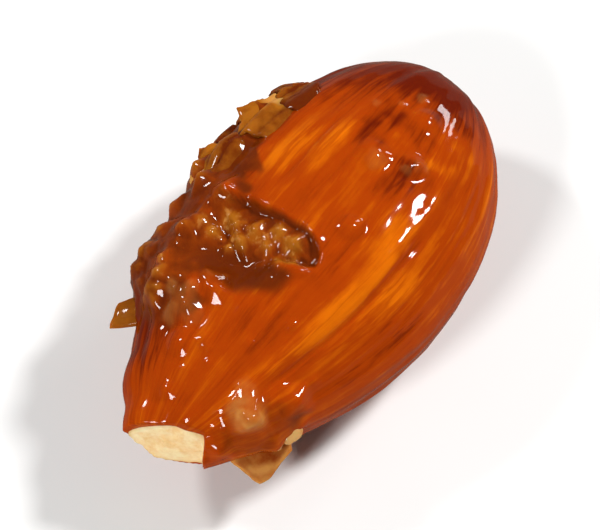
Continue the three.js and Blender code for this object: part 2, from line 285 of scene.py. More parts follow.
# Unevenness of the sheets, as a share of noise and its pace in three ways.
PLATE_RAGGED, PLATE_SWAY, PLATE_BEND = (0.07, 9, 1, 1), (0.3, 1.8, 4, 1), (0.12, 0.8, 0.9, 4)
CREASE_WANDER, SPUR_MOTTLE = (0.4, 0.6, 0.9, 3.1), (0.7, 4, 4, 2)
SPLINTER_RAGGED, SPLINTER_BEND = (0.05, 3, 1, 1), (0.1, 1.1, 1.1, 1)

# Grain of the textures, on the skin's own grain and then per metre.
STREAKS, FIBRES = 1.3, 4.5
MOTTLE, CLOUDS, FLECKS, SUGAR_FLECKS = 420.0, 900.0, 4200.0, 2600.0
MEAT_GRAIN, MEAT_BLOTCHES, CRUMB_BLOTCHES, FLOOR_TONES = 2600.0, 700.0, 1500.0, 40.0

# Darker shades, as shares of red, green and blue.
TOASTED_MEAT, TOASTED_CRUMB, FLOOR_SHADE = (0.84, 0.62, 0.36), (0.75, 0.4, 0.2), (0.97, 0.97, 0.97)

# Lamps: degrees from the camera and up, the setting that holds the watts, and metres across.
Lamp = namedtuple("Lamp", "name turn rise power width")
LAMPS = (
    Lamp("key_light", 115, 48, "key", 0.055),
    Lamp("front_light", -35, 40, "front", 0.07),
    Lamp("back_light", -115, 45, "back", 0.05),
    Lamp("end_light", 140, 20, "end", 0.05),
)
LAMP_DISTANCE = 0.3
FLOOR_RADIUS, FLOOR_SIDES = 1.4, 96
FLOOR_MIRRORED = (0.2, 0.17, 0.14)
SKY_SEEN = 0.92
FRAME_SHAPE = 600 / 530


def amount(name, description, default, **kind):
    return FloatProperty(name=name, description=description, default=default, **kind)


def length(name, description, default):
    return amount(name, description, default, unit="LENGTH")


def bearing(name, description, degrees):
    return amount(name, description, math.radians(degrees), subtype="ANGLE")


def tint(name, description, default):
    return FloatVectorProperty(name=name, description=description, default=default, subtype="COLOR")


def count(name, description, default):
    return IntProperty(name=name, description=description, default=default)


class KernelSizes(PropertyGroup):
    round_reach: length("Round reach", "From the widest section to the round end", 0.012)
    tip_reach: length("Tip reach", "From the widest section to the unbroken tip", 0.015)
    width: length("Width", "Across both flanks", 0.014)
    thickness: length("Thickness", "Between the broad faces", 0.0093)
    ridge: length("Ridge height", "Of the skin's lengthwise ridges", 0.00014)
    fine_ridge: length("Fine ridge height", "Of the wrinkles between ridges", 0.00001)
    glaze: length("Glaze", "Depth of the thin glaze over the skin", 0.00012)
    ripple: length("Ripple", "Unevenness of the set glaze", 0.00004)
    around: count("Around", "Faces round the kernel", 352)
    lengthwise: count("Lengthwise", "Faces from tip to round end", 264)


class CaramelSizes(PropertyGroup):
    crag_least: length("Smallest crag", "Reach of the smallest crag", 0.0008)
    crag_most: length("Largest crag", "Reach of the largest crag", 0.0015)
    hollow_depth: length("Hollow depth", "Where a neighbour broke away", 0.001)
    crumbs: count("Crumbs", "Small crumbs scattered in the caramel", 3)


class AlmondColours(PropertyGroup):
    skin_crest: tint("Skin crest", "Lit ridges", (0.66, 0.14, 0.001))
    skin_body: tint("Skin body", "Skin between", (0.37, 0.042, 0.0003))
    skin_groove: tint("Skin groove", "Grooves and toasted skin", (0.125, 0.008, 0.0002))
    caramel_thin: tint("Thin caramel", "Edges and crests of caramel", (0.36, 0.11, 0.007))
    caramel_film: tint("Caramel film", "Caramel spread over the skin", (0.27, 0.04, 0.0015))
    caramel_deep: tint("Deep caramel", "Thick caramel and hollows", (0.125, 0.017, 0.0013))
    sugar: tint("Sugar", "Pale flecks on broken crests", (0.56, 0.25, 0.055))
    cloudy: tint("Cloudy caramel", "Milky lumps", (0.55, 0.235, 0.05))
    meat: tint("Nut meat", "Broken face", (1.0, 0.78, 0.44))
    crumb: tint("Crumb", "Pale crumbs", (0.58, 0.33, 0.11))


class StageSettings(PropertyGroup):
    azimuth: bearing("Azimuth", "Camera's turn about the nut", -54)
    elevation: bearing("Elevation", "Camera's height above the horizon", 60)
    lens: amount("Lens", "Camera's focal length in millimetres", 600.0)
    seen: length("Seen", "Height that the frame takes in at the nut", 0.0258)
    key: amount("Key light", "Watts", 0.75)
    front: amount("Front light", "Watts", 0.5)
    back: amount("Back light", "Watts", 0.34)
    end: amount("End light", "Watts", 0.12)
    ambient: amount("Ambient", "Strength of the light from all round", 0.1)
    floor: tint("Floor", "Pale floor", (0.88, 0.88, 0.87))


def ease(value, low, high):
    """How far a value has gone from low to high, eased at both ends."""
    share = min(1.0, max(0.0, (value - low) / (high - low)))
    return share * share * (3 - 2 * share)


def mix(low, high, share):
    return low + (high - low) * share


def spread(index):
    """Three shares from 0 to 1 that spread evenly as the index runs."""
    return [(index + 1) * step % 1.0 for step in SPREAD]


def follow(edge, along):
    """The height of a broken line, given as rising (along, height) pairs."""
    for (a, low), (b, high) in zip(edge, edge[1:]):
        if along <= b:
            return mix(low, high, min(1.0, max(0.0, (along - a) / (b - a))))
    return edge[-1][1]


def nearness(point, spot, seat):
    """How near a point is to the middle of a stretched spot: 1 there, 0 at its edge."""
    offset = point - seat
    return 1 - math.hypot(offset.x / spot.stretch, offset.y, offset.z) / spot.reach


def waves(point, layers):
    return sum(share * noise.noise(point * scale) for scale, share in layers)


def scaled(steps, values):
    return tuple(step * value for step, value in zip(steps, values))


def paced(paces, *values):
    """A share of noise, at a place given by three values, each times its pace."""
    share, *steps = paces
    return share * noise.noise(Vector(scaled(steps, values)))


def strayed(point, layers):
    """A point moved aside by layers of noise."""
    return sum((share * noise.noise_vector(point * scale) for scale, share in layers), point)


class NutForm:
    """The nut's shape, in millimetres."""

    def __init__(self, scene):
        kernel, caramel = scene.almond_kernel, scene.almond_caramel
        for name in "round_reach tip_reach width thickness ridge fine_ridge glaze ripple".split():
            setattr(self, name, getattr(kernel, name) / MM)
        self.radius = (self.width + self.thickness) / 4
        self.hollow = caramel.hollow_depth / MM
        self.patches = self.seated(CRUST.values())
        self.beads, self.drops = self.seated(BEADS), self.seated(DROPS)
        self.toasting, self.blotched, self.films, self.clear, self.floor_dark_and_shade = (
            self.seated(spots) for spots in (TOASTING_AND_SHADING, BLOTCHED, FILMS, CLEAR, FLOOR_DARK_AND_SHADE)
        )
        single = [
            (self.place(along, degrees), reach, Quaternion(CRAG_AXIS, PLACED_TURN * i))
            for i, (along, degrees, reach) in enumerate(PLACED_CRAGS)
        ]
        sizes = (caramel.crag_least / MM, caramel.crag_most / MM)
        self.crags = self.heap(self.strewn("crags", CRAG_DRAWS, sizes) + single)
        self.grit = self.heap(self.strewn("grit", GRIT_DRAWS, GRIT_SIZES))

    def seated(self, spots):
        return [(spot, self.place(spot.along, spot.round)) for spot in spots]

    def strewn(self, kind, draws, sizes):
        """Crags or grit over all patches, as many on each as it says: seat, reach and turn."""
        first, apart = draws
        return [
            self.crag(patch, first + i + apart * k, sizes)
            for k, patch in enumerate(CRUST.values())
            for i in range(getattr(patch, kind))
        ]

    @staticmethod
    def heap(crags):
        """Crags, a tree to find them by, and the reach of the largest."""
        tree = KDTree(len(crags))
        for index, (seat, _reach, _turn) in enumerate(crags):
            tree.insert(seat, index)
        tree.balance()
        return crags, tree, max(reach for _seat, reach, _turn in crags)

    def fullness(self, station):
        power, root = TIP_TAPER if station < 0 else ROUND_TAPER
        return max(0.0, 1 - abs(station) ** power) ** root

    def station(self, along):
        reach = self.tip_reach if along < 0 else self.round_reach
        return min(1.0, max(-1.0, along / reach))

    def point(self, station, angle):
        """The bare kernel's surface at a station from -1 at the tip to 1, and an angle round its axis."""
        full = self.fullness(station)
        return Vector((
            station * (self.tip_reach if station < 0 else self.round_reach),
            self.width / 2 * full * math.cos(angle) + ROUND_LEAN * max(0.0, station) ** 2,
            self.thickness / 2 * full**FACE_FULLNESS * math.sin(angle),
        ))

    def place(self, along, degrees):
        return self.point(self.station(along), math.radians(degrees))

    def outward(self, point):
        reaches = (self.round_reach + self.tip_reach, self.width, self.thickness)
        return Vector([part / reach**2 for part, reach in zip(point, reaches)]).normalized()

    def scatter(self, patch, index, share):
        """A spot within a share of a patch's reach: along, degrees, and a share for its size."""
        turn, out, size = spread(index)
        distance = share * patch.reach * math.sqrt(out)
        along = patch.along + distance * patch.stretch * math.cos(math.tau * turn)
        girth = self.radius * self.fullness(self.station(patch.along))
        return along, patch.round + math.degrees(distance * math.sin(math.tau * turn) / girth), size

    def crag(self, patch, index, sizes):
        along, degrees, size = self.scatter(patch, index, CRAG_SPREAD)
        return self.place(along, degrees), mix(*sizes, size), Quaternion(CRAG_AXIS, CRAG_TURN * index)

    def crust_depth(self, point):
        return max(p.depth * ease(nearness(point, p, seat), 0, p.rim) for p, seat in self.patches)

    @staticmethod
    def crag_height(point, heap):
        crags, tree, furthest = heap
        tallest = 0.0
        for _co, index, _distance in tree.find_range(point, furthest):
            seat, reach, turn = crags[index]
            offset = turn @ (point - seat)
            tallest = max(tallest, reach - abs(offset.x) - abs(offset.y) - abs(offset.z))
        return CRAG_STEEPNESS * tallest

    @staticmethod
    def bead_height(point, beads):
        return max(b.height * max(0.0, 1 - ((point - seat).length / b.reach) ** 2) ** 2 for b, seat in beads)

    def cloud(self, point):
        """How cloudy the beads and drops make the caramel at a point: milky caramel, and pale spots that are
        partly painted highlight.
        """
        return max(
            b.cloud * ease(1 - (point - seat).length / b.reach, *CLOUD_EDGE)
            for b, seat in self.beads + self.drops
        )

    @staticmethod
    def tip_dip(along, angle):
        depth, start, stop = TIP_DIP
        return depth * ease(-along, start, stop) * max(0.0, math.sin(angle))

    def ridge_height(self, station, angle, ridges):
        rises = (
            r.share * math.sin(r.count * angle + r.wander * math.sin(r.pace * station + r.start) + r.start)
            for r in ridges
        )
        return sum(rises) * self.fullness(station)

    @staticmethod
    def furrow_height(along, degrees):
        total = 0.0
        for furrow in FURROWS:
            aside = ((degrees - furrow.round) / furrow.half) ** 2
            if aside < 1:
                near = ease(along, furrow.start, furrow.start + FURROW_FADE)
                far = ease(furrow.stop - along, 0, FURROW_FADE)
                total += furrow.height * (1 - aside) ** 2 * near * far
        return total

    def lip_inside(self, point, degrees):
        """How far a point lies from the lip into the hollow."""
        turned = LIP_CURL * ((degrees - LIP_MIDDLE) / LIP_HALF) ** LIP_TURN
        return LIP_ALONG - turned - point.x + waves(point, LIP_WAVES)

    @staticmethod
    def hollow_across(along, degrees):
        start, stop, start_side, stop_side = HOLLOW_SIDES
        narrow_from, narrow_to, narrow_by, soften = NARROWING
        narrowed = ease(-along, narrow_from, narrow_to)
        far = ease(stop - narrow_by * narrowed - degrees, 0, stop_side + soften * narrowed)
        return ease(degrees - start, 0, start_side) * far

    def hollow_share(self, point, degrees):
        inside = self.lip_inside(point, degrees)
        wall = mix(ease(inside, LIP_EDGE, LIP_WALL), ease(inside, 0, LIP_EDGE), LIP_SHARE)
        return wall * self.hollow_across(point.x, degrees) * ease(point.x, *HOLLOW_END)

    def lip_shade(self, point, degrees):
        """Painted shadow on the wall under the lip, deeper towards the crusted flank."""
        inside = self.lip_inside(point, degrees)
        width = mix(*SHADE_WIDTHS, ease(degrees, *SHADE_TURN))
        wall = ease(inside, 0, SHADE_RIM) * (1 - ease(inside, SHADE_FULL * width, width))
        return LIP_SHADE * wall * self.hollow_across(point.x, degrees)

    @staticmethod
    def toast(point, stains):
        return sum(stain.amount * ease(nearness(point, stain, seat), 0, 1) for stain, seat in stains)

    @staticmethod
    def break_at(y, z):
        """The broken face, as the least x that the nut keeps."""
        start, stop, drop = BREAK_END
        wave = BREAK_WAVE * math.sin(WAVE_Z * z + WAVE_Y * y)
        step = BREAK_STEP * (math.tanh(STEP_SHARPNESS * (y + STEP_SLANT * z)) + wave)
        chip_y, chip_z, chip_from, chip_slope = BREAK_CHIP
        chip = chip_slope * max(0.0, chip_y * y + chip_z * z - chip_from)
        return BREAK_PLACE + BREAK_SKEW * y + BREAK_LEAN * z + step + chip - drop * ease(-y, start, stop)

    def smooth_seat(self, along, degrees):
        """A place on the caramel without its crags, beads and hollow, and the way out from it."""
        bare = self.place(along, degrees)
        way = self.outward(bare)
        dip = self.tip_dip(bare.x, math.radians(degrees))
        return bare + way * (self.glaze + self.crust_depth(bare) - dip), way

    def seat_on(self, along, degrees, sunk):
        """A place sunk in the caramel's surface, and the way out from it."""
        bare = self.place(along, degrees)
        point, way = self.smooth_seat(along, degrees)
        lift = self.crag_height(bare, self.crags) + self.bead_height(bare, self.beads)
        return point + way * (lift - self.hollow * self.hollow_share(bare, degrees) - sunk), way


def ball(bm, around, lengthwise):
    """Adds a unit ball with its poles on X."""
    turn = Matrix.Rotation(math.pi / 2, 4, "Y")
    bmesh.ops.create_uvsphere(bm, u_segments=around, v_segments=lengthwise, radius=1.0, matrix=turn)


def station_and_angle(direction):
    cosine = min(1.0, max(-1.0, direction.x))
    station = (cosine + END_SPREAD * (4 * cosine**3 - 3 * cosine)) / (1 + END_SPREAD)
    return station, math.atan2(direction.z, direction.y)


def placed(name, data):
    """A new object in the scene."""
    thing = bpy.data.objects.new(name, data)
    bpy.context.scene.collection.objects.link(thing)
    return thing


def meshed(bm, name, material):
    """A new object from a modelled shape."""
    mesh = bpy.data.meshes.new(name)
    bm.to_mesh(mesh)
    bm.free()
    mesh.materials.append(material)
    return placed(name, mesh)


def finish_piece(bm, name, material):
    """Puts a modelled shape in the frame as a piece of the nut."""
    bm.transform(TO_FRAME)
    bmesh.ops.recalc_face_normals(bm, faces=bm.faces[:])
    for face in bm.faces:
        face.smooth = True
    piece = meshed(bm, name, material)
    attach(piece, BODY)
    return piece


class Sheets:
    """A mesh of snapped caramel sheets, each thinner towards its free edges."""

    def __init__(self):
        self.bm = bmesh.new()
        self.tone = self.bm.verts.layers.float.new("tone")
        self.half = self.bm.verts.layers.float.new("half")
        self.way = self.bm.verts.layers.float_vector.new("way")

    def add(self, spot, thickness, tone, cells, taper):
        """Adds a closed sheet whose middle follows spot(across, outwards) and whose colour follows tone."""
        under = bmesh.ops.create_grid(self.bm, x_segments=cells[0], y_segments=cells[1], size=1.0)["verts"]
        for vert in under:
            across, outwards = (vert.co.x + 1) / 2, (vert.co.y + 1) / 2
            rim = min(across, 1 - across, 1 - outwards)
            vert[self.half] = thickness / 2 * mix(FREE_EDGE, 1, math.sqrt(min(1.0, rim / taper)))
            vert[self.tone] = tone(across, outwards)
            vert.co = spot(across, outwards)
        self.bm.normal_update()
        for vert in under:
            vert[self.way] = vert.normal
        faces = list({face for vert in under for face in vert.link_faces})
        grown = bmesh.ops.extrude_face_region(self.bm, geom=faces)["geom"]
        over = [item for item in grown if isinstance(item, bmesh.types.BMVert)]
        for side, verts in ((-1, under), (1, over)):
            for vert in verts:
                vert.co += vert[self.way] * vert[self.half] * side

    def finish(self, name, material):
        layers = self.bm.verts.layers
        layers.float.remove(layers.float["half"])
        layers.float_vector.remove(layers.float_vector["way"])
        finish_piece(self.bm, name, material)


def splinter_spot(splinter):
    """The middle of a flat splinter, as a function of shares across and outwards."""
    u = Vector(splinter.along).normalized()
    v = (Vector(splinter.out) - u * Vector(splinter.out).dot(u)).normalized()
    start, stop = splinter.edge[0][0], splinter.edge[-1][0]

    def spot(across, outwards):
        along = mix(start, stop, across)
        edge = follow(splinter.edge, along) + paced(SPLINTER_RAGGED, along, splinter.salt, 0)
        stand = outwards * (splinter.root + edge) - splinter.root
        bend = paced(SPLINTER_BEND, along, stand, splinter.salt)
        return Vector(splinter.seat) + u * along + v * stand + u.cross(v) * bend

    return spot


def plate_edge(plate, index, share):
    """How far a fringe plate's ragged free edge stands out, at a share of its span."""
    tooth = min(PLATE_TEETH - 1, int(share * PLATE_TEETH))
    near, far = (mix(*TOOTH_HEIGHTS, spread(t + TOOTH_DRAWS * index)[0]) for t in (tooth, tooth + 1))
    teeth = mix(near, far, share * PLATE_TEETH - tooth)
    ragged = paced(PLATE_RAGGED, share * plate.span, index, 0)
    return plate.reach * math.sin(math.pi * mix(*PLATE_ARC, share)) * teeth + ragged


def plate_spot(form, plate, index):
    """The middle of a fringe plate: it lies on the caramel, then leaves it flat for its free edge."""
    tilt = math.radians(plate.tilt)
    seat = form.place(plate.along, plate.round)
    out = Vector((0, math.cos(tilt), math.sin(tilt)))
    over = Vector((0, -math.sin(tilt), math.cos(tilt)))

    def spot(across, outwards):
        stand = mix(-PLATE_ROOT, plate_edge(plate, index, across), outwards)
        along = plate.span * (across - 0.5) * (1 - PLATE_NARROWING * (1 - outwards) ** 2)
        along += paced(PLATE_SWAY, stand, across, index)
        bend = paced(PLATE_BEND, along, stand, index)
        bend -= CREASE_DEPTH * plate.creases * crease(plate, index, across, stand)
        free = seat + Vector((along, 0, 0)) + out * stand + over * bend
        lying, way = form.smooth_seat(plate.along + along, plate.round - math.degrees(stand / form.radius))
        lying += way * (bend + mix(*ROOT_LIFTS, ease(stand, -PLATE_ROOT, ROOT_RISE - PLATE_ROOT)))
        return lying.lerp(free, ease(stand, *PLATE_FREE))

    return spot


def crease(plate, index, across, stand):
    """Creases that run along a plate, from 0 between them to 1."""
    along = plate.span * across
    turns = CREASE_PACE * stand + CREASE_SLANT * along + paced(CREASE_WANDER, along, stand, index)
    return (0.5 + 0.5 * math.sin(math.tau * turns + index)) ** 2


class NodeTree:
    """Adds and joins the shader nodes of a material, world or group with few words."""

    def __init__(self, owner):
        self.owner = owner
        self.tree = owner
        if not isinstance(owner, bpy.types.NodeTree):
            owner.use_nodes = True
            self.tree = owner.node_tree
            self.tree.nodes.clear()

    def add(self, kind, sockets=None, **settings):
        node = self.tree.nodes.new(kind)
        for name, value in settings.items():
            setattr(node, name, value)
        for name, value in (sockets or {}).items():
            if isinstance(value, bpy.types.NodeSocket):
                self.tree.links.new(value, node.inputs[name])
            else:
                node.inputs[name].default_value = value
        return node

    def noise(self, vector, scale, detail=3.0, rough=0.55):
        sockets = {"Vector": vector, "Scale": scale, "Detail": detail, "Roughness": rough}
        return self.add("ShaderNodeTexNoise", sockets).outputs["Fac"]

    def place(self):
        return self.add("ShaderNodeTexCoord").outputs["Object"]

    def math(self, operation, a, b=0.5, clamped=False):
        return self.add("ShaderNodeMath", {0: a, 1: b}, operation=operation, use_clamp=clamped).outputs[0]

    def plus(self, a, b, clamped=False):
        return self.math("ADD", a, b, clamped)

    def times(self, a, b):
        return self.math("MULTIPLY", a, b)

    def span(self, value, low, high, to_low=0.0, to_high=1.0):
        sockets = {"Value": value, "From Min": low, "From Max": high, "To Min": to_low, "To Max": to_high}
        return self.add("ShaderNodeMapRange", sockets, interpolation_type="SMOOTHSTEP").outputs[0]

    def blend(self, share, a, b):
        sockets = {0: share, 6: self.fit(a), 7: self.fit(b)}
        return self.add("ShaderNodeMix", sockets, data_type="RGBA").outputs[2]

    @staticmethod
    def fit(colour):
        """A socket as it is, or red, green and blue made fit for one."""
        return colour if isinstance(colour, bpy.types.NodeSocket) else (*colour, 1.0)

    def attribute(self, name, output="Fac"):
        return self.add("ShaderNodeAttribute", attribute_name=name).outputs[output]

    def caramel(self, thin, deep, depth):
        """Set caramel's colour and height, from the shared group."""
        group = bpy.data.node_groups.get(CARAMEL_GROUP) or caramel_group()
        sockets = {"Thin": self.fit(thin), "Deep": self.fit(deep), "Depth": depth}
        return self.add("ShaderNodeGroup", sockets, node_tree=group).outputs

    def bump(self, height, strength, distance):
        sockets = {"Height": height, "Strength": strength, "Distance": distance}
        return self.add("ShaderNodeBump", sockets).outputs[0]

    def surface(self, colour, rough, sockets):
        sockets = {"Base Color": colour, "Roughness": rough, **sockets}
        shader = self.add("ShaderNodeBsdfPrincipled", sockets)
        self.add("ShaderNodeOutputMaterial", {"Surface": shader.outputs[0]})
        return self.owner


def caramel_group():
    """Caramel's colour: amber where it is thin, dark brown where thick, with clouds of trapped sugar."""
    group = bpy.data.node_groups.new(CARAMEL_GROUP, "ShaderNodeTree")
    for way, names in (("INPUT", ("Thin", "Deep", "Depth")), ("OUTPUT", ("Color", "Height"))):
        for name in names:
            kind = "NodeSocketFloat" if name in ("Depth", "Height") else "NodeSocketColor"
            group.interface.new_socket(name, in_out=way, socket_type=kind)
    nodes = NodeTree(group)
    given = nodes.add("NodeGroupInput").outputs
    spot = nodes.place()
    cloud = nodes.noise(spot, CLOUDS, 4.0, 0.6)
    fleck = nodes.noise(spot, FLECKS, 2.0, 0.6)
    depth = nodes.plus(given["Depth"], nodes.span(cloud, 0.3, 0.7, -0.28, 0.28), clamped=True)
    colour = nodes.blend(depth, given["Thin"], given["Deep"])
    pale = nodes.times(nodes.span(fleck, 0.6, 0.78), nodes.span(cloud, 0.45, 0.65))
    lit = nodes.blend(nodes.times(pale, 0.4), colour, given["Thin"])
    height = nodes.plus(cloud, nodes.times(fleck, 0.3))
    nodes.add("NodeGroupOutput", {"Color": lit, "Height": height})
    return group


def new_material(name):
    return NodeTree(bpy.data.materials.new(name))


def translucent(weight, depth, radius):
    return {"Subsurface Weight": weight, "Subsurface Scale": depth, "Subsurface Radius": radius}


def coated(weight, rough, ior):
    """A clear coat over a surface with no shine of its own."""
    return {"Specular IOR Level": 0.0, "Coat Weight": weight, "Coat Roughness": rough, "Coat IOR": ior}


def skin_material(colours):
    """Glazed skin: orange ridges and red-brown grooves, which pass into caramel where it lies thick."""
    nodes = new_material("glazed_skin")
    grain, spot = nodes.attribute("grain", "Vector"), nodes.place()
    streak = nodes.noise(grain, STREAKS, 3.0, 0.6)
    fibre = nodes.noise(grain, FIBRES, 3.0, 0.65)
    mottle = nodes.noise(spot, MOTTLE)
    cover, crag, toast = (nodes.attribute(name) for name in ("cover", "crag", "toast"))
    tone = nodes.span(nodes.math("ABSOLUTE", nodes.math("SUBTRACT", streak, 0.5)), 0.0, 0.05, -0.13, 0.0)
    for part in (
        nodes.span(streak, 0.2, 0.8, 0.34, 0.74),
        nodes.span(fibre, 0.25, 0.75, -0.1, 0.1),
        nodes.span(mottle, 0.25, 0.75, -0.1, 0.1),
        nodes.times(nodes.attribute("ridge"), 0.22),
        # Toast mark: roasting, with painted shade on the left flank and painted light on the right.
        nodes.times(toast, -0.6),
    ):
        tone = nodes.plus(tone, part)
    low = nodes.blend(nodes.span(tone, -0.12, 0.5), colours.skin_groove, colours.skin_body)
    skin = nodes.blend(nodes.span(tone, 0.5, 1.2), low, colours.skin_crest)
    # Painted shade and light: caramel darker low between the crags and in crevices, lighter on crests.
    depth = nodes.plus(nodes.times(toast, 0.45), nodes.span(crag, 0.04, 0.4, 0.5, 0.1))
    depth = nodes.plus(depth, nodes.span(nodes.attribute("crevice"), -0.3, 0.3, -0.25, 0.45))
    amber = nodes.blend(nodes.span(crag, 0.2, 0.65), colours.caramel_film, colours.caramel_thin)
    toffee = nodes.caramel(amber, colours.caramel_deep, depth)
    fleck = nodes.noise(spot, SUGAR_FLECKS, 2.0, 0.6)
    sugared = nodes.times(nodes.span(fleck, 0.52, 0.7, 0.0, 0.5), nodes.span(crag, 0.2, 0.5))
    sugared = nodes.times(sugared, nodes.span(toast, 0.1, 0.6, 1.0, 0.0))
    crusted = nodes.blend(sugared, toffee["Color"], colours.sugar)
    covered = nodes.blend(cover, skin, crusted)
    # Painted shade in deep caramel's colour: the hollow's dark floor and the shadow under the lip.
    floor = nodes.span(nodes.attribute("sunk"), 0.1, 0.8, 0.0, 0.95)
    sunk = nodes.times(floor, nodes.span(crag, 0.1, 0.5, 1.0, 0.4))
    with_painted_shade = nodes.blend(sunk, covered, colours.caramel_deep)
    # Milky caramel, and pale spots that are partly painted highlight.
    milk = nodes.times(nodes.attribute("milk"), nodes.span(mottle, 0.38, 0.6, 0.35, 1.0))
    colour = nodes.blend(milk, with_painted_shade, colours.cloudy)
    height = nodes.plus(nodes.times(fibre, 0.6), nodes.times(toffee["Height"], 0.5))
    return nodes.surface(colour, nodes.span(fibre, 0.2, 0.8, 0.36, 0.52), {
        "Normal": nodes.bump(height, 0.5, 0.00006),
        **translucent(0.15, 0.0004, (1.0, 0.3, 0.06)),
        **coated(0.75, 0.06, 1.35),
    })


def caramel_material(name, colours, thin, deep, subsurface):
    """Set caramel: glossy and a little translucent, darker or cloudier as the piece's tone says."""
    nodes = new_material(name)
    tone = nodes.attribute("tone")
    toffee = nodes.caramel(thin, deep, tone)
    colour = nodes.blend(nodes.span(tone, -0.9, -0.2, 1.0, 0.0), toffee["Color"], colours.cloudy)
    rough = nodes.span(toffee["Height"], 0.3, 1.0, 0.22, 0.4)
    return nodes.surface(colour, rough, {
        "Normal": nodes.bump(toffee["Height"], 0.4, 0.00005),
        **translucent(subsurface, 0.0008, (1.0, 0.4, 0.08)),
        **coated(0.6, 0.08, 1.35),
    })


def meat_material(colours):
    """Nut meat: cream, fine-grained, browner towards the skin."""
    nodes = new_material("nut_meat")
    spot = nodes.place()
    grain = nodes.noise(spot, MEAT_GRAIN, 4.0, 0.65)
    blotch = nodes.noise(spot, MEAT_BLOTCHES, 2.0)
    tone = nodes.plus(nodes.span(grain, 0.35, 0.7, 0.0, 0.45), nodes.span(blotch, 0.4, 0.65, 0.0, 0.4))
    rim = nodes.math("MAXIMUM", tone, nodes.attribute("rim"))
    colour = nodes.blend(rim, colours.meat, scaled(TOASTED_MEAT, colours.meat))
    return nodes.surface(colour, nodes.span(blotch, 0.3, 0.7, 0.5, 0.65), {
        "Normal": nodes.bump(grain, 0.6, 0.00008),
        **translucent(0.3, 0.0005, (1.0, 0.6, 0.3)),
    })


def crumb_material(colours):
    """Crumbs: pale bits of nut and sugar under a film of caramel."""
    nodes = new_material("pale_crumb")
    blotch = nodes.noise(nodes.place(), CRUMB_BLOTCHES)
    brown = nodes.plus(nodes.attribute("brown"), nodes.span(blotch, 0.35, 0.7, -0.3, 0.3), clamped=True)
    colour = nodes.blend(brown, colours.crumb, scaled(TOASTED_CRUMB, colours.crumb))
    return nodes.surface(colour, nodes.span(blotch, 0.3, 0.7, 0.3, 0.5), {
        "Normal": nodes.bump(blotch, 0.5, 0.0001),
        **translucent(0.3, 0.0006, (1.0, 0.2, 0.1)),
        **coated(0.7, 0.08, 1.5),
    })


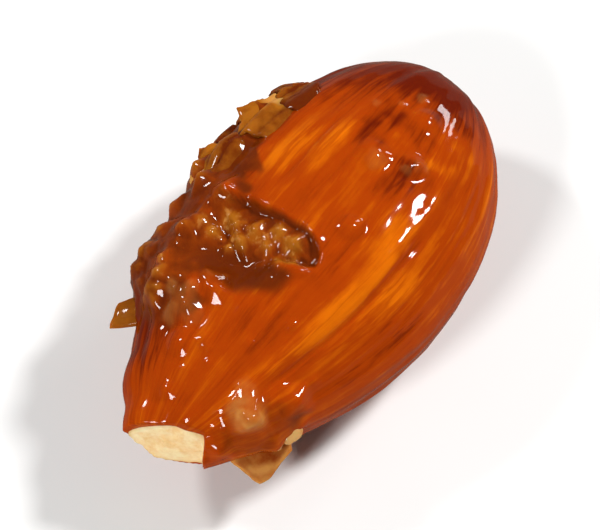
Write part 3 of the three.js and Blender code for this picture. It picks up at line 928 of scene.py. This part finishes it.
class ALMOND_OT_kernel(Operator):
    """Model the kernel's glazed skin with its ridges, hollow, crust and broken tip"""

    bl_idname = "almond.kernel"
    bl_label = "Glazed Kernel"

    def execute(self, context):
        sizes, form = context.scene.almond_kernel, NutForm(context.scene)
        noise.seed_set(STRAY_SEED)
        bm = bmesh.new()
        ball(bm, sizes.around, sizes.lengthwise)
        names = ("cover", "crag", "ridge", "sunk", "toast", "milk", "crevice")
        facts = {name: bm.verts.layers.float.new(name) for name in names}
        grain = bm.verts.layers.float_vector.new("grain")
        for vert in bm.verts:
            station, angle = station_and_angle(vert.co)
            bare = form.point(station, angle)
            hollow = form.hollow_share(bare, math.degrees(angle))
            lift, marks = self.relief(form, station, angle, bare)
            marks.update(self.stains(form, math.degrees(angle), bare, hollow))
            for name, value in marks.items():
                vert[facts[name]] = value
            vert[grain] = scaled(GRAIN, (math.cos(angle), math.sin(angle), bare.x))
            lift -= form.hollow * hollow + form.tip_dip(bare.x, angle)
            point = bare + form.outward(bare) * lift
            point.x = max(point.x, form.break_at(point.y, point.z) + SKIN_DEPTH)
            point.z = max(point.z, -REST_HEIGHT)
            vert.co = point
        rough = [vert for vert in bm.verts if vert[facts["crag"]] > ROUGH_FROM]
        bmesh.ops.smooth_vert(
            bm, verts=rough, factor=ROUGH_SOFTENING, use_axis_x=True, use_axis_y=True, use_axis_z=True
        )
        self.mark_crevice_shading(bm, rough, facts["crevice"])
        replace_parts(finish_piece(bm, "glazed_kernel", skin_material(context.scene.almond_colours)), NODE)
        return {"FINISHED"}

    @staticmethod
    def relief(form, station, angle, bare):
        """How far ridges, caramel and glaze stand out, and what they mark on the skin."""
        crust = form.crust_depth(bare)
        worn = ease(paced(WEAR, bare.x, math.cos(angle), math.sin(angle)), *WORN)
        ridge = form.ridge_height(station, angle, RIDGES) * mix(WORN_SHARE, 1.0, worn)
        ridge *= mix(TIP_WORN_SHARE, 1.0, ease(bare.x, *TIP_WORN))
        fine = form.ridge_height(station, angle, FINE_RIDGES)
        furrow = form.furrow_height(bare.x, math.degrees(angle))
        crag, grit = form.crag_height(bare, form.crags), form.crag_height(bare, form.grit)
        beads = form.bead_height(bare, form.beads) + form.bead_height(bare, form.drops)
        free = (1 - ease(crust, *CRUST_BURIES)) * (1 - BEAD_SHARE * ease(beads, *BEAD_BURIES))
        ripple = form.ripple * waves(bare, RIPPLE_WAVES)
        lift = form.glaze + crust + crag + GRIT_SHARE * grit + beads + ripple
        lift += free * (form.ridge * ridge + form.fine_ridge * fine + furrow)
        return lift, {"crag": crag + grit, "ridge": ridge + FINE_MARK * fine + FURROW_MARK * furrow}

    @staticmethod
    def stains(form, degrees, bare, hollow):
        """Where caramel covers the skin, and where either is dark, bright or cloudy."""
        stray = strayed(bare, STAIN_STRAY)
        depth = form.crust_depth(strayed(bare, COVER_STRAY))
        film = form.toast(stray, form.films) + waves(bare, FILM_WAVES)
        cover = max(ease(depth, *COVER_DEPTHS), ease(hollow, *COVER_SUNK), ease(film, *COVER_FILM))
        blotch = waves(bare, BLOTCH_WAVES) * form.toast(bare, form.blotched)
        return {
            "cover": cover * (1 - form.toast(stray, form.clear)),
            # Painted shade: the hollow's dark floor and the shadow under the lip.
            "sunk": max(form.toast(stray, form.floor_dark_and_shade), form.lip_shade(bare, degrees)),
            # Roasting marks, with painted shade on the left flank and painted light on the right.
            "toast": form.toast(stray, form.toasting) + blotch,
            # Milky caramel, and pale spots that are partly painted highlight.
            "milk": form.cloud(strayed(bare, CLOUD_STRAY)),
        }

    @staticmethod
    def mark_crevice_shading(bm, verts, fact):
        """Marks how deep each place lies among those round it, as a share of the way to them, for painted
        shade in crevices and painted light on crests.
        """
        bm.normal_update()
        for vert in verts:
            around = [edge.other_vert(vert).co for edge in vert.link_edges]
            middle = sum(around, Vector()) / len(around)
            reach = sum((co - vert.co).length for co in around) / len(around)
            vert[fact] = (middle - vert.co).dot(vert.normal) / reach


class ALMOND_OT_meat(Operator):
    """Model the pale nut meat that shows at the broken tip"""

    bl_idname = "almond.meat"
    bl_label = "Nut Meat"

    def execute(self, context):
        form = NutForm(context.scene)
        bm = bmesh.new()
        ball(bm, *MEAT_FACES)
        edge = bm.verts.layers.float.new("rim")
        for vert in bm.verts:
            station, angle = station_and_angle(vert.co)
            bare = form.point(station, angle)
            point = bare - form.outward(bare) * (MEAT_UNDER + form.tip_dip(bare.x, angle))
            face = form.break_at(point.y, point.z) + waves(point, FACE_WAVES) - MEAT_PROUD
            face += MEAT_SETBACK * ease(point.y + waves(point, SETBACK_WAVES), *SETBACK_AT)
            outline = math.hypot(*form.place(face, math.degrees(angle)).yz)
            vert[edge] = ease(math.hypot(point.y, point.z) / max(TINY, outline), *MEAT_RIM)
            point.x = max(point.x, face)
            vert.co = point
        plug = [*bm.verts, *bm.edges, *bm.faces]
        cut = bmesh.ops.bisect_plane(
            bm, geom=plug, plane_co=(MEAT_ROOT, 0, 0), plane_no=(1, 0, 0), clear_outer=True
        )
        rim = [item for item in cut["geom_cut"] if isinstance(item, bmesh.types.BMEdge)]
        bmesh.ops.edgeloop_fill(bm, edges=rim)
        finish_piece(bm, "nut_meat", meat_material(context.scene.almond_colours))
        return {"FINISHED"}


class ALMOND_OT_flakes(Operator):
    """Model the snapped sheets of caramel: the fringe and the shard"""

    bl_idname = "almond.flakes"
    bl_label = "Caramel Flakes"

    def execute(self, context):
        form, colours = NutForm(context.scene), context.scene.almond_colours
        sheets = Sheets()
        for index, plate in enumerate((*FRINGE, *map(self.small_plate, range(SMALL_PLATES)))):
            spot, tone = plate_spot(form, plate, index), self.creased(plate, index)
            sheets.add(spot, plate.thickness, tone, PLATE_CELLS, PLATE_TAPER)
        shard = splinter_spot(SHARD)
        sheets.add(shard, SHARD.thickness, lambda *_shares: SHARD_TONE, SHARD_CELLS, PLATE_TAPER)
        tints = colours.caramel_thin, colours.caramel_deep
        material = caramel_material("snapped_caramel", colours, *tints, 0.35)
        sheets.finish("caramel_flakes", material)
        return {"FINISHED"}

    @staticmethod
    def creased(plate, index):
        def tone(across, outwards):
            stand = mix(-PLATE_ROOT, plate_edge(plate, index, across), outwards)
            root = ROOT_TONE * (1 - ease(stand, *ROOT_FADE))
            cloud = (1 - ease(abs(across - plate.cloud), *CLOUD_BAND)) * ease(stand, *CLOUD_START)
            creased = plate.tone + plate.creases * crease(plate, index, across, stand)
            return mix(creased + root, CLOUD_TONE, cloud)

        return tone

    @staticmethod
    def small_plate(number):
        along, size, turn = spread(number + SMALL_DRAW)
        rest = [size] * (len(Plate._fields) - 2)
        return Plate(*map(mix, SMALL_LEAST, SMALL_MOST, (along, turn, *rest)))


class ALMOND_OT_spur(Operator):
    """Model the cloudy spur of caramel beside the broken tip"""

    bl_idname = "almond.spur"
    bl_label = "Cloudy Spur"

    def execute(self, context):
        colours = context.scene.almond_colours
        sheets = Sheets()
        sheets.add(splinter_spot(SPUR), SPUR.thickness, self.clouded, SPUR_CELLS, SPUR_TAPER)
        material = caramel_material("cloudy_caramel", colours, colours.cloudy, colours.caramel_film, 0.5)
        sheets.finish("cloudy_spur", material)
        return {"FINISHED"}

    @staticmethod
    def clouded(across, outwards):
        root = mix(*SPUR_TONES, ease(outwards, *SPUR_FADE))
        return root + SPUR_SIDE * (1 - across) + paced(SPUR_MOTTLE, across, outwards, 1) - SPUR_PALER


class ALMOND_OT_crumbs(Operator):
    """Scatter the pale crumbs that stick in the caramel"""

    bl_idname = "almond.crumbs"
    bl_label = "Crumbs"

    def execute(self, context):
        form = NutForm(context.scene)
        crumbs = list(CRUMBS)
        for number in range(context.scene.almond_caramel.crumbs):
            patch = CRUST[CRUMB_PATCHES[number % len(CRUMB_PATCHES)]]
            along, degrees, size = form.scatter(patch, CRUMB_DRAW + number, CRUMB_SPREAD)
            crumbs.append(Crumb(along, degrees, mix(*CRUMB_RADII, size), CRUMB_BROWN))
        bm = bmesh.new()
        brown = bm.verts.layers.float.new("brown")
        for number, crumb in enumerate(crumbs):
            for vert in self.add_crumb(bm, form, crumb, CRUMB_SALT * number):
                vert[brown] = crumb.brown
        finish_piece(bm, "pale_crumbs", crumb_material(context.scene.almond_colours))
        return {"FINISHED"}

    @staticmethod
    def add_crumb(bm, form, crumb, salt):
        seat, way = form.seat_on(crumb.along, crumb.round, CRUMB_SUNK * crumb.radius)
        shape = Quaternion(way, salt).to_matrix().to_4x4() @ Matrix.Diagonal(CRUMB_SHAPE)
        made = bmesh.ops.create_icosphere(
            bm, subdivisions=3, radius=crumb.radius, matrix=Matrix.Translation(seat) @ shape
        )
        for vert in made["verts"]:
            spot = vert.co / crumb.radius + Vector((salt, 0, 0))
            vert.co += (vert.co - seat) * waves(spot, CRUMB_WAVES)
        return made["verts"]


class ALMOND_OT_stage(Operator):
    """Set the pale floor, the soft lights and the camera"""

    bl_idname = "almond.stage"
    bl_label = "Stage"

    def execute(self, context):
        scene, stage = context.scene, context.scene.almond_stage
        scene.view_settings.view_transform = "Standard"
        self.add_floor(stage)
        scene.world = self.sky(stage)
        scene.camera = self.add_camera(stage)
        for lamp in LAMPS:
            self.add_lamp(stage, lamp)
        return {"FINISHED"}

    @staticmethod
    def add_floor(stage):
        nodes = new_material("pale_floor")
        tone = nodes.span(nodes.noise(nodes.place(), FLOOR_TONES, 2.0), 0.3, 0.7)
        pale = nodes.blend(tone, stage.floor, scaled(FLOOR_SHADE, stage.floor))
        mirrored = nodes.add("ShaderNodeLightPath").outputs["Is Glossy Ray"]
        colour = nodes.blend(mirrored, pale, FLOOR_MIRRORED)
        material = nodes.surface(colour, 0.75, {"Specular IOR Level": 0.2})
        bm = bmesh.new()
        bmesh.ops.create_circle(bm, cap_ends=True, segments=FLOOR_SIDES, radius=FLOOR_RADIUS)
        meshed(bm, "floor", material)

    @staticmethod
    def sky(stage):
        """Weak light from all round, behind which the camera sees white."""
        nodes = NodeTree(bpy.data.worlds.new("studio"))
        seen = nodes.add("ShaderNodeLightPath").outputs["Is Camera Ray"]
        sockets = {"Value": seen, "To Min": stage.ambient, "To Max": SKY_SEEN}
        strength = nodes.add("ShaderNodeMapRange", sockets).outputs[0]
        sky = nodes.add("ShaderNodeBackground", {"Color": (1, 1, 1, 1), "Strength": strength})
        nodes.add("ShaderNodeOutputWorld", {"Surface": sky.outputs[0]})
        return nodes.owner

    def add_camera(self, stage):
        data = bpy.data.cameras.new("camera")
        data.lens = stage.lens
        data.clip_start = MM
        low, high = (Vector(corner) for corner in CAD_BOX)
        distance = stage.seen * FRAME_SHAPE * data.lens / data.sensor_width
        return self.aimed("camera", data, (low + high) / 2, stage.azimuth, stage.elevation, distance)

    def add_lamp(self, stage, lamp):
        data = bpy.data.lights.new(lamp.name, "AREA")
        data.shape = "DISK"
        data.size = lamp.width
        data.energy = getattr(stage, lamp.power)
        turn, rise = math.radians(lamp.turn), math.radians(lamp.rise)
        self.aimed(lamp.name, data, Vector(), stage.azimuth + turn, rise, LAMP_DISTANCE)

    @staticmethod
    def aimed(name, data, target, azimuth, elevation, distance):
        """A camera or lamp that looks at a target from a distance."""
        flat = math.cos(elevation)
        back = Vector((math.sin(azimuth) * flat, -math.cos(azimuth) * flat, math.sin(elevation)))
        thing = placed(name, data)
        thing.location = target + back * distance
        thing.rotation_euler = back.to_track_quat("Z", "Y").to_euler()
        return thing


OPERATORS = (
    ALMOND_OT_stage, ALMOND_OT_kernel, ALMOND_OT_meat, ALMOND_OT_flakes, ALMOND_OT_spur, ALMOND_OT_crumbs
)


class ALMOND_PT_panel(Panel):
    """Lists the pieces of the candied almond and their sizes"""

    bl_idname = "ALMOND_PT_panel"
    bl_label = "Candied Almond"
    bl_space_type = "VIEW_3D"
    bl_region_type = "UI"
    bl_category = "Almond"

    def draw(self, context):
        for operator in OPERATORS:
            self.layout.operator(operator.bl_idname)
        for group in SETTINGS:
            settings = getattr(context.scene, group)
            for name in settings.bl_rna.properties.keys():
                if name not in ("rna_type", "name"):
                    self.layout.prop(settings, name)


SETTINGS = {
    "almond_kernel": KernelSizes,
    "almond_caramel": CaramelSizes,
    "almond_colours": AlmondColours,
    "almond_stage": StageSettings,
}
CLASSES = (*SETTINGS.values(), *OPERATORS, ALMOND_PT_panel)


def register():
    for cls in CLASSES:
        bpy.utils.register_class(cls)
    for name, group in SETTINGS.items():
        setattr(bpy.types.Scene, name, PointerProperty(type=group))


def unregister():
    for name in SETTINGS:
        delattr(bpy.types.Scene, name)
    for cls in reversed(CLASSES):
        bpy.utils.unregister_class(cls)


def main():
    register()
    bpy.ops.almond.stage()
    bpy.ops.almond.kernel()
    bpy.ops.almond.meat()
    bpy.ops.almond.flakes()
    bpy.ops.almond.spur()
    bpy.ops.almond.crumbs()


if __name__ == "__main__":
    main()
